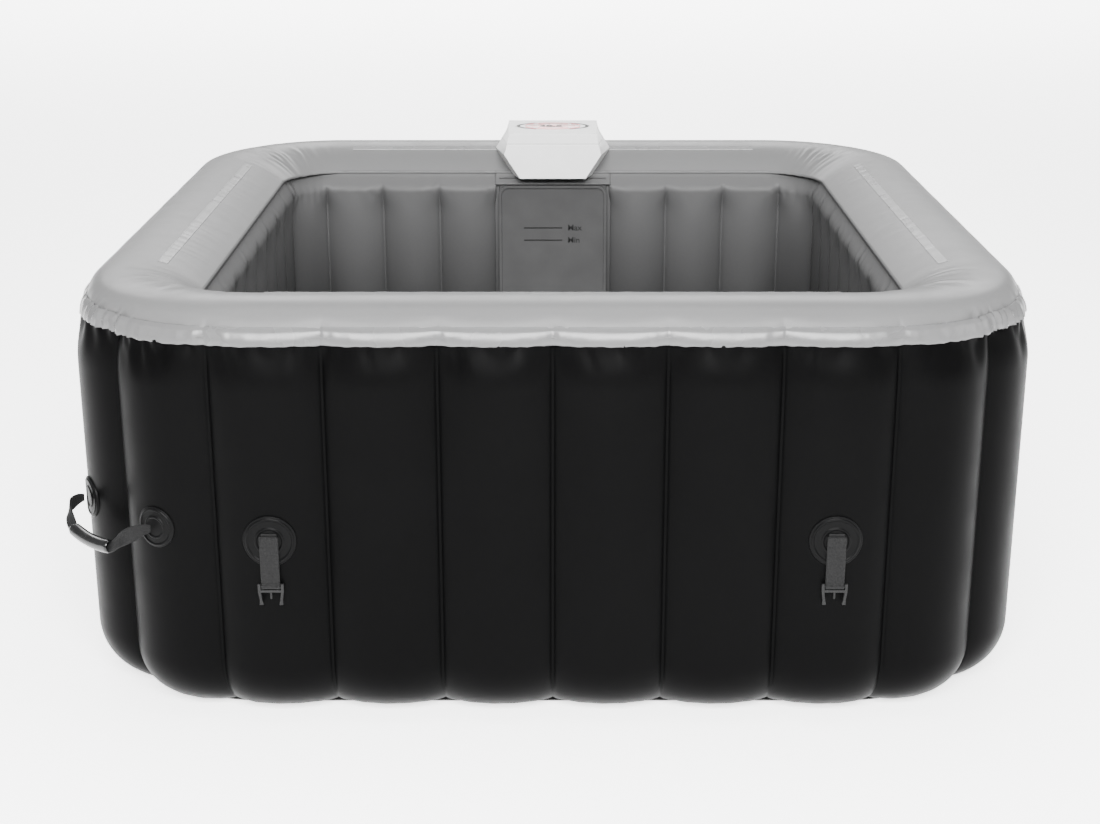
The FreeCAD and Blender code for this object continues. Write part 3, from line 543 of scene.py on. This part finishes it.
def fold_field(walk, rise, total, places, panels, fade):
    """Sum of the folds at every point; rise is the distance from the line that they start on."""
    s = np.asarray(walk, float) / panels * total
    field = np.zeros(np.broadcast(s, rise).shape)
    for place, width, depth, lean, reach in places:
        gap = (s - place - lean * rise + total / 2) % total - total / 2
        near = np.abs(gap) < 5 * width
        if not near.any():
            continue
        wide = width * (1 + rise / (fade * reach) * 0.8)
        bell = np.exp(-((gap / wide) ** 2)) - 0.45 * np.exp(-(((gap - 1.7 * wide) / wide) ** 2))
        field = field + depth * bell * np.exp(-((rise / (fade * reach)) ** 1.5))
    return field


# ---- outer wall --------------------------------------------------------------------------
BAND_FOLDS = wrinkles(7, OUTER, 2.6, 3.4, 26.0)
WALL_FOLDS = wrinkles(11, OUTER, 4.6, 7.0, 40.0)
INNER_FOLDS = wrinkles(5, INNER, 4.5, 6.5, 38.0)
RIM_FOLDS = wrinkles(3, OUTER, 2.6, 7.0, 42.0)


def outer_offset(walk, z, inset):
    """How far the wall's skin stands out from the seam line."""
    h = hump(walk)
    shoulder = smooth_step(z, SHOULDER_Z, BAND_LOW + 14)
    crown = OUTER_BULGE - inset - 14.0 * shoulder**1.3
    seam = -inset * 0.97 - 3.0 * shoulder
    tuck = 14.0 * smooth_step(z, BAND_LOW + 1.0, 642.0)
    return seam + (crown - seam) * h - tuck


def outer_wall():
    swing = np.linspace(math.radians(4), math.pi / 2, 22)
    low = [(BOTTOM_ROUND * (1 - math.cos(a)), BOTTOM_ROUND * (1 - math.sin(a))) for a in swing]
    middle = [(z, 0.0) for z in np.linspace(BOTTOM_ROUND, SHOULDER_Z, 26)[1:]]
    top = [(z, 0.0) for z in np.linspace(SHOULDER_Z, WALL_TOP, 34)[1:]]
    profile = np.array(low + middle + top)
    end = UNIT_PANELS_OUT[0] + OUTER["panels"]
    walk = np.append(panel_steps(UNIT_PANELS_OUT[1], end, OUTER_SAMPLES), end)
    z, inset = profile[:, 0][:, None], profile[:, 1][:, None]
    out = outer_offset(walk[None, :], z, inset)
    total, places = WALL_FOLDS
    drop = np.maximum(0, BAND_LOW + 6 - z)
    out -= fold_field(walk[None, :], drop, total, places, OUTER["panels"], 34.0)
    # the hem at the bottom puckers a little where the panels are welded to the base
    out += 0.8 * np.sin(walk[None, :] * 2 * np.pi * 5.0) * smooth_step(inset, 20, 80)
    rows = []
    for k in range(len(profile)):
        xy, _ = ring(walk, OUTER, out=out[k])
        rows.append(np.column_stack([xy, np.full(len(walk), profile[k, 0])]))
    for back, height in ((-100.0, WALL_TOP), (-100.0, 320.0), (-118.0, 0.4)):
        xy, _ = ring(walk, OUTER, out=back)
        rows.append(np.column_stack([xy, np.full(len(walk), height)]))
    obj = grid("outer_wall_skin", np.array(rows), M["outer"], wrap_rows=True, caps=True)
    place_on(obj, "tub", "outer_vinyl", "outer_wall", fill=1.0)


# ---- rim ---------------------------------------------------------------------------------
def rim_row(walk, half, z):
    """One line round the rim; its corners tighten from the outer wall's to the inner edge's."""
    widest = OUTER["half"] + OUTER_BULGE
    inward = (widest - half) / (widest - RIM_EDGE_HALF)
    corner = half - OUTER["half"] + OUTER["corner"]
    corner += (RIM_EDGE_CORNER - (RIM_EDGE_HALF - OUTER["half"] + OUTER["corner"])) * inward
    scallop = crease = 0.0
    if half > 700:
        scallop = 4.5 * (1 - hump(walk)) * (1 - smooth_step(z, 646.0, 684.0))
        total, places = BAND_FOLDS
        crease = fold_field(walk, np.array(max(0.0, z - 652.0)), total, places, OUTER["panels"], 12.0)
    crease = crease * (0.25 + 0.5 * cornerness(walk, OUTER))
    xy, _ = ring(walk, OUTER, half=half, corner=corner, out=-scallop - crease)
    total, places = RIM_FOLDS
    reach = np.array(abs(half - 640.0))
    dent = fold_field(walk, reach, total, places, OUTER["panels"], 42.0)
    dent = dent * (0.2 + 0.45 * cornerness(walk, OUTER))
    return np.column_stack([xy, z - 0.8 * dent * (half < 735)])


def top_rim():
    walk = panel_steps(0, OUTER["panels"], OUTER_SAMPLES)
    rows = [rim_row(walk, half, z) for half, z in curve_through(RIM_PROFILE, RIM_ROWS)]
    underside = ((578.0, 637.0), (600.0, 634.0), (760.0, 634.0))
    rows += [rim_row(walk, half, z) for half, z in underside]
    obj = grid("top_rim_skin", np.array(rows), M["rim"], wrap_rows=True, wrap_columns=True)
    place_on(obj, "tub", "rim_vinyl", "top_rim", fill=1.0)


def crest_highlight_strips():
    """A slightly raised, glossy strip along the top of the rim on each straight side, coloured lighter as a
    painted highlight: the reflection of a long softbox on the crest.
    """
    crest = curve_through(RIM_PROFILE, 400)
    shape = [(-8.5, -0.8), (-8.0, 0.7), (-7.0, 0.9), (-6.0, 0.5), (-3.0, 0.55), (0.0, 0.6)]
    shape += [(-x, z) for x, z in reversed(shape[:-1])]
    surfaces = []
    for side in range(4):
        walk = np.linspace(8 * side - 2.62, 8 * side + 2.62, 220)
        rows = []
        for across, lift in shape:
            half = CREST_HALF + across
            z = float(np.interp(-half, -crest[:, 0], crest[:, 1]))
            rows.append(rim_row(walk, half, z + lift))
        surfaces.append(np.array(rows))
    obj = grids("rim_crest_highlight_strips", surfaces, M["crest"])
    place_on(obj, "tub", "rim_vinyl")


def rim_band():
    walk = panel_steps(0, OUTER["panels"], OUTER_SAMPLES)
    total, places = BAND_FOLDS
    outside, inside = [], []
    for z in np.linspace(BAND_LOW, BAND_HIGH, BAND_ROWS):
        up = (z - BAND_LOW) / (BAND_HIGH - BAND_LOW)
        wall = -3.0 + 16.0 * (1 - 0.6 * (1 - hump(walk)))
        rim = RIM_PROFILE[0][0] - OUTER["half"] - 4.5 * (1 - hump(walk)) - 9.6 * up
        out = wall * (1 - up) + rim * up + 2.0
        fold = fold_field(walk, np.array(0.4 * (z - BAND_LOW)), total, places, OUTER["panels"], 26.0)
        out += np.maximum(fold, -0.9) * (0.4 + 1.1 * cornerness(walk, OUTER))
        out -= 1.5 * smooth_step(z, BAND_HIGH - 5.0, BAND_HIGH - 3.0)
        edge = 0.5 * np.sin(walk * 2 * np.pi * 3.3) + 0.4 * np.sin(walk * 2 * np.pi * 7.7)
        rise = edge * (1 - up) * (z < 640)
        xy, _ = ring(walk, OUTER, out=out)
        outside.append(np.column_stack([xy, z + rise]))
        xy, _ = ring(walk, OUTER, out=out - 1.4)
        inside.append(np.column_stack([xy, z + rise]))
    rows = outside + inside[::-1]
    obj = grid("rim_band_skin", np.array(rows), M["band"], wrap_rows=True, wrap_columns=True)
    place_on(obj, "tub", "rim_vinyl", "rim_skirt")


# ---- inner wall --------------------------------------------------------------------------
def inner_offset(walk, z):
    """How far the inner skin bellies into the tub; a smooth collar runs round under the rim."""
    h = hump(walk)
    collar = smooth_step(z, 530.0 + 25 * (1 - h), 604.0 + 16 * (1 - h))
    slope = 6.0 + 19.0 * smooth_step(643.0 - z, 0.0, 46.0)
    return INNER_BULGE * h * (1 - collar) + slope * collar


def inner_wall():
    z = [np.linspace(0.8, 60, 10), np.linspace(70, 560, 30), np.linspace(566, INNER_TOP, 36)]
    end = UNIT_PANELS_IN[0] + INNER["panels"]
    walk = np.append(panel_steps(UNIT_PANELS_IN[1], end, INNER_SAMPLES), end)
    rows = []
    total, places = INNER_FOLDS
    for height in np.concatenate(z):
        belly = inner_offset(walk, np.array(height))
        crease = fold_field(walk, np.array(abs(594.0 - height)), total, places, INNER["panels"], 30.0)
        belly -= crease * (0.25 + 0.75 * (1 - hump(walk)))
        foot = smooth_step(np.array(height), -10.0, 60.0)
        xy, _ = ring(walk, INNER, out=-belly * (0.55 + 0.45 * foot))
        rows.append(np.column_stack([xy, np.full(len(walk), height)]))
    for back, height in ((60.0, 633.0), (60.0, 300.0), (60.0, 0.8)):
        xy, _ = ring(walk, INNER, out=back)
        rows.append(np.column_stack([xy, np.full(len(walk), height)]))
    obj = grid("inner_wall_skin", np.array(rows), M["inner"], wrap_rows=True, caps=True)
    place_on(obj, "tub", "inner_vinyl", "inner_wall", fill=1.0)


# ---- sheets and the air ring -------------------------------------------------------------
def sheet_rows(half, corner, top, ripple, seed):
    """A flat sheet as rings about its middle, with a low uneven ripple."""
    rng = np.random.RandomState(seed)
    walk = np.linspace(0, 32, 320, endpoint=False)
    waves = [(rng.uniform(4, 19, 2), rng.uniform(0, 6.3)) for _ in range(9)]
    rows = []
    for share in np.linspace(1.0, 0.0005, 46):
        xy, _ = ring(walk, OUTER, half=half * share, corner=corner * share)
        z = np.zeros(len(walk))
        for (kx, ky), shift in waves:
            z += np.sin(xy[:, 0] * kx * MM + shift) * np.cos(xy[:, 1] * ky * MM - shift)
        rows.append(np.column_stack([xy, top + ripple * (z / 5.0 - 0.4)]))
    return rows


def floor_liner():
    rows = sheet_rows(558.0, 80.0, 8.2, 1.2, 21)
    edge = rows[0].copy()
    edge[:, 2] = 3.2
    obj = grid("floor_liner_skin", np.array([edge] + rows), M["sheet"], wrap_columns=True)
    place_on(obj, "tub", "sheet_vinyl", "floor_liner")


def base_sheet():
    top = sheet_rows(700.0, 223.0, 2.6, 0.3, 22)
    under = [np.column_stack([r[:, :2], 0.7 - 0.25 * (r[:, 2] - 2.6)]) for r in top]
    weld = [top[0] * (1.004, 1.004, 1.0), under[0] * (1.004, 1.004, 1.0)]
    rows = top[::-1] + weld + under
    obj = grid("base_sheet_skin", np.array(rows), M["sheet"], wrap_columns=True)
    place_on(obj, "tub", "sheet_vinyl", "base_sheet")


def bubble_ring():
    walk = np.linspace(0, 32, 1024, endpoint=False)
    xy, _ = ring(walk, AIR_RING)
    path = np.column_stack([xy, np.full(len(walk), AIR_RING_Z)])
    step = walk % 1
    size = 9.6 - 0.9 * np.exp(-((step * 9) ** 2)) - 0.9 * np.exp(-(((step - 1.0) * 9) ** 2))
    tube = pipe(path, size, closed=True)
    hose = grid("bubble_ring_tube", tube, M["tube"], wrap_rows=True, wrap_columns=True)
    place_on(hose, "tub", "clear_tube", "bubble_ring")
    xy, _ = ring(np.arange(AIR_RING["panels"]) + 0.5, AIR_RING)
    angle = np.linspace(0, 2 * np.pi, 16, endpoint=False)
    dots = []
    for x, y in xy:
        edge = [
            np.column_stack([x + r * np.cos(angle), y + r * np.sin(angle), np.full(16, z)])
            for r, z in ((2.4, 27.2), (2.2, 28.0), (1.5, 28.0), (0.1, 26.6))
        ]
        dots.append(np.array(edge))
    # painted shade: each hole is a shallow dimple coloured black to stand for the unlit inside of the hole
    obj = grids("bubble_holes", dots, M["ink_and_hole_shade"], wrap_columns=True)
    place_on(obj, "tub", "clear_tube")


# ---- patches, handles and buckles --------------------------------------------------------
def on_wall(panel, z, along, up, out):
    """Points of something laid on the wall's skin round a place."""
    quarter = 2 * (OUTER["half"] - OUTER["corner"]) + OUTER["corner"] * math.pi / 2
    pitch = 4 * quarter / OUTER["panels"]
    on_a_side = abs(((panel + 4) % 8) - 4) < 3
    bent = 1.0 if on_a_side else OUTER["corner"] / (OUTER["corner"] + OUTER_BULGE)
    walk = panel + along * bent / pitch
    skin = outer_offset(walk, z + up, 0.0)
    xy, _ = ring(walk, OUTER, out=skin + out)
    return np.concatenate([xy, (z + up)[..., None]], -1)


def patch_points(panel, z, radius, ridges):
    brim = radius - np.array([1.2, 0.5, 0.1, -0.2])
    r = np.concatenate([[0.3], np.linspace(2, radius - 2.2, 60), brim])
    rise = 2.8 + 0.6 * np.cos(r / radius * 1.2)
    for ridge in ridges:
        rise = rise + 1.5 * np.exp(-(((r - ridge) / 1.9) ** 4))
    rise[-4:] = (3.0, 2.5, 1.6, -1.0)
    angle = np.linspace(0, 2 * np.pi, 96, endpoint=False)
    along = r[:, None] * np.cos(angle)[None]
    up = r[:, None] * np.sin(angle)[None]
    wave = 0.25 * np.sin(3 * angle + panel)[None] * (r[:, None] / radius) ** 2
    return on_wall(panel, z, along, up, rise[:, None] + wave)


def patches():
    roots = [corner + step for corner in HANDLE_CORNERS.values() for step in (-0.5, 0.5)]
    surfaces = [patch_points(p, HANDLE_Z, HANDLE_PATCH_R, (17.0, 29.0)) for p in roots]
    obj = grids("handle_patch_skins", surfaces, M["patch"], wrap_columns=True)
    place_on(obj, "tub", "outer_vinyl", "handle_patches")
    surfaces = [patch_points(p, BUCKLE_Z, BUCKLE_PATCH_R, (21.0, 36.0)) for p in BUCKLES.values()]
    obj = grids("buckle_patch_skins", surfaces, M["patch"], wrap_columns=True)
    place_on(obj, "tub", "outer_vinyl", "buckle_patches")


def placer(point, normal, z):
    """Turns points made facing -Y so that they face along a normal, at a point."""
    side = np.array([-normal[1], normal[0]])

    def place(points):
        p = np.asarray(points, float)
        xy = point + p[..., 0:1] * side - p[..., 1:2] * np.asarray(normal)
        return np.concatenate([xy, p[..., 2:3] + z], -1)

    return place


def handle(tag, corner):
    roots = [ring(corner + step, OUTER, out=OUTER_BULGE + 11.0)[0] for step in (-0.5, 0.5)]
    middle = (roots[0] + roots[1]) / 2
    reach = float(np.linalg.norm(roots[1] - roots[0])) / 2
    place = placer(middle, ring(corner, OUTER)[1], HANDLE_Z)

    straps = []
    for side in (-1, 1):
        spine = curve_through(
            [
                (side * (reach - 1), -1.0, 0.5),
                (side * (reach - 3), -14.0, 1.0),
                (side * (reach - 9), -30.0, -3.0),
                (side * (reach - 22), -41.5, -13.0),
                (side * (GRIP_HALF + 1), -GRIP_OUT, -GRIP_DROP),
                (side * (GRIP_HALF - 16), -GRIP_OUT, -GRIP_DROP),
            ],
            70,
        )
        lean = (0.1, 0.1, 0.2, 0.4, 0.5, 0.5)
        wide = curve_through([(0, y, 1) for y in lean], 70)
        half = np.interp(np.arange(70), [0, 10, 26, 60, 69], [6.0, 8.6, 12.5, 9.0, 8.0])
        straps.append(place(web(spine, wide, half, 2.2, (4.0, 5.0), 0.6)))
    obj = grids("handle_webbing_" + tag, straps, M["webbing"], wrap_rows=True, caps=True)
    place_on(obj, "handle_" + tag, "webbing", "handle_strap_" + tag)

    t = np.linspace(-1, 1, 60)
    bow = 1 - t * t
    path = np.column_stack([GRIP_HALF * t, -GRIP_OUT - 2.0 * bow, -GRIP_DROP - 4.5 * bow])
    wall = pipe(path, GRIP_R - 1.6 * np.abs(t) ** 24, 32)
    bore = pipe(path[[0, 1, 2]], GRIP_BORE, 32)[:, ::-1]
    bore_far = pipe(path[[-3, -2, -1]], GRIP_BORE, 32)
    tube = np.concatenate([bore, wall, bore_far[:, ::-1]], 1)
    obj = grid("handle_grip_tube_" + tag, place(tube), M["grip"], wrap_rows=True)
    place_on(obj, "handle_" + tag, "grip_plastic", "handle_grip_" + tag)


def buckle(tag, panel):
    point, normal = ring(panel, OUTER, out=OUTER_BULGE)
    place = placer(point, normal, BUCKLE_Z)
    z = np.linspace(9.2, -76.6, 150)
    past_bar = z - CLIP_BAR_Z
    spine = np.column_stack([np.zeros(150), np.full(150, -9.0), z])
    strap = web(spine, np.tile((1.0, 0, 0), (150, 1)), STRAP_HALF, 2.3, (6.0, 7.0), 0.85)
    bulge = np.sqrt(np.maximum(0, CLIP_BAR_R**2 - past_bar**2))
    centre = strap.mean(0, keepdims=True)
    away = np.sign(strap[..., 1] - centre[..., 1])
    strap[..., 1] += away * np.maximum(0, bulge - 1.4)[None]
    obj = grid("buckle_webbing_" + tag, place(strap), M["webbing"], wrap_rows=True, caps=True)
    place_on(obj, "strap_" + tag, "webbing", "buckle_strap_" + tag)

    back = curve_through([(-12.0, -4.9, 6.0), (0, -5.2, 6.0), (12.0, -4.9, 6.0)], 40)
    tab = place(web(back, np.tile((0, 0, 1.0), (40, 1)), 8.0, 1.4, (4.0, 5.0), 0.2))
    obj = grid("buckle_tab_" + tag, tab, M["webbing"], wrap_rows=True, caps=True)
    place_on(obj, "tub", "webbing")


# ---- power unit --------------------------------------------------------------------------
def solid(name, low, high, material, slot="grey_plastic", round_by=0.6):
    bm = bmesh.new()
    bmesh.ops.create_cube(bm, size=1.0)
    low, high = Vector(low) * MM, Vector(high) * MM
    for vert in bm.verts:
        vert.co = Vector(((c + 0.5) * (h - l) + l) for c, l, h in zip(vert.co, low, high))
    bmesh.ops.bevel(bm, geom=bm.edges, offset=round_by * MM, segments=2, profile=0.5, affect="EDGES")
    mesh = bpy.data.meshes.new(name)
    bm.to_mesh(mesh)
    bm.free()
    mesh.materials.append(material)
    obj = bpy.data.objects.new(name, mesh)
    bpy.context.scene.collection.objects.link(obj)
    return place_on(obj, "tub", slot)


def lettering(name, text, size, place, turn, material, slot, bold=0.018):
    """Raised print: a word as thin solid letters."""
    curve = bpy.data.curves.new(name, "FONT")
    curve.body = text
    curve.size = size * MM
    curve.extrude = 0.12 * MM
    curve.offset = bold * size * MM
    curve.align_x, curve.align_y = "LEFT", "CENTER"
    font = bpy.data.objects.new(name + "_font", curve)
    bpy.context.scene.collection.objects.link(font)
    bpy.context.view_layer.update()
    mesh = bpy.data.meshes.new_from_object(font)
    bpy.data.objects.remove(font)
    mesh.transform(Matrix.Translation(Vector(place) * MM) @ turn)
    mesh.materials.clear()
    mesh.materials.append(material)
    obj = bpy.data.objects.new(name, mesh)
    bpy.context.scene.collection.objects.link(obj)
    return place_on(obj, "tub", slot)


def water_marks():
    upright = Matrix.Rotation(math.pi / 2, 4, "X")
    low_y, high_y = PANEL_FACE_Y - 0.2, PANEL_FACE_Y + 0.5
    for word, z in (("Max", 516.0), ("Min", 488.0)):
        solid("mark_line_" + word, (-64, low_y, z - 1.7), (21, high_y, z + 1.7), M["ink_and_hole_shade"], round_by=0.2)
        lettering("mark_word_" + word, word, 18.5, (33, PANEL_FACE_Y, z), upright, M["ink_and_hole_shade"], "grey_plastic")


def panel_surround():
    """Wall vinyl beside the panel, and the collar carried on across its top."""
    for side in (-1, 1):
        low_x, high_x = sorted((side * 118.6, side * 128.0))
        solid("panel_side_%d" % side, (low_x, 580, 9), (high_x, 584, 640), M["inner"], slot="inner_vinyl")
    walk = np.linspace(UNIT_PANELS_IN[0] - 0.02, UNIT_PANELS_IN[1] + 0.02, 60)
    rows = []
    for z in np.linspace(INNER_TOP, 614.0, 14):
        crown = inner_offset(np.full(60, UNIT_MIDDLE_IN + 0.5), np.array(z))
        xy, _ = ring(walk, INNER, out=-0.4 - crown)
        rows.append(np.column_stack([xy, np.full(60, z)]))
    for out, z in ((-15.0, 612.2), (4.0, 612.0), (4.0, 640.0)):
        xy, _ = ring(walk, INNER, out=out)
        rows.append(np.column_stack([xy, np.full(60, z)]))
    obj = grid("panel_header", np.array(rows), M["inner"], wrap_rows=True, caps=True)
    place_on(obj, "tub", "inner_vinyl", fill=1.0)


def filter_circle(angle, radius, y):
    """A circle about the filter's axis, at one place along it."""
    x = FILTER_X + radius * np.cos(angle)
    return np.column_stack([x, np.full(len(angle), y), FILTER_Z + radius * np.sin(angle)])


def filter_pleats():
    angle = np.linspace(0, 2 * np.pi, 480, endpoint=False)
    size = 41.5 + 4.2 * np.abs(((angle * 44 / (2 * np.pi)) % 1) * 2 - 1)
    shares = {580.0: 1.0, 584.0: 1.0, 600.0: 1.0, 625.0: 0.99, 650.0: 1.0, 666.0: 1.0, 670.0: 1.0}
    rows = [filter_circle(angle, size * keep, y) for y, keep in shares.items()]
    rows += [filter_circle(angle, 18, y) for y in (670.0, 580.0)]
    obj = grid("filter_pleats", np.array(rows), M["media"], wrap_rows=True, wrap_columns=True)
    place_on(obj, "filter", "filter_paper", "filter_cartridge")
    section = ((18, 0.6), (19, 0), (45, 0), (46, 0.8), (46, 3.4), (45, 4.2), (19, 4.2), (18, 3.6))
    for tag, y in (("front", 578.4), ("back", 667.6)):
        disc = np.array([filter_circle(angle, r, y + dy) for r, dy in section])
        obj = grid("filter_end_" + tag, disc, M["white"], wrap_rows=True, wrap_columns=True)
        place_on(obj, "filter", "filter_paper")


# ---- control head ------------------------------------------------------------------------
def oval_band(outer, inner, first, last, z, count=90, thick=0.12):
    """A printed band between two ovals, over part of a turn in degrees."""
    a = np.radians(np.linspace(first, last, count))
    rows = []
    for (rx, ry), height in ((inner, z), (inner, z + thick), (outer, z + thick), (outer, z)):
        x, y = LENS[0] + rx * np.cos(a), LENS[1] + ry * np.sin(a)
        rows.append(np.column_stack([x, y, np.full(count, height)]))
    return np.array(rows)


def lens_print():
    z = LENS_TOP
    field = oval_band(PRINT_FIELD, (0.2, 0.2), 0, 360, z, 120, 0.05)
    place_on(grid("print_field", field, M["blush"], wrap_rows=True), "tub", "lens_print")
    pink = [oval_band(*PRINT_RING, first, first + 140, z) for first in (20, 200)]
    place_on(grids("print_ring", pink, M["pink"], wrap_rows=True, caps=True), "tub", "lens_print")
    black = [oval_band(*PRINT_ARCS, first, first + 124, z) for first in (118, -62)]
    place_on(grids("print_arcs", black, M["ink_and_hole_shade"], wrap_rows=True, caps=True), "tub", "lens_print")
    flat = Matrix.Identity(4)
    lettering("print_digits", "38.5", 30.0, (-30, 648, z + 0.2), flat, M["ink_and_hole_shade"], "lens_print", bold=0.035)
    marks = (
        ("print_heat", "HEAT", -31, 672),
        ("print_clean", "FILTER", -31, 624),
        ("print_up", "UP", 25, 672),
        ("print_down", "DOWN", 15.5, 624),
    )
    for name, word, x, y in marks:
        lettering(name, word, 5.0, (x, y, z + 0.15), flat, M["pink"], "lens_print")


# ---- build -------------------------------------------------------------------------------
camera()
studio()
outer_wall()
top_rim()
crest_highlight_strips()
rim_band()
inner_wall()
floor_liner()
base_sheet()
bubble_ring()
patches()
for handle_tag, handle_corner in HANDLE_CORNERS.items():
    handle(handle_tag, handle_corner)
for buckle_tag, buckle_panel in BUCKLES.items():
    buckle(buckle_tag, buckle_panel)
water_marks()
panel_surround()
filter_pleats()
lens_print()

NODE_LOOKS = {
    "outer_vinyl": "outer", "rim_vinyl": "rim", "inner_vinyl": "inner", "sheet_vinyl": "sheet",
    "clear_tube": "tube", "webbing": "webbing", "grip_plastic": "grip", "black_plastic": "black",
    "white_plastic": "white", "grey_plastic": "grey", "filter_paper": "media",
    "seal_rubber": "seal", "lens_print": "white", "display_glass": "ink_and_hole_shade",
    "circuit_board": "board", "key_cap": "white", "steel": "steel",
}
for part in frame["record"]["subparts"]:
    look = M[NODE_LOOKS[part["material_slot"]]]
    obj = NODES[part["node"]]
    obj.data.materials.clear()
    obj.data.materials.append(look)
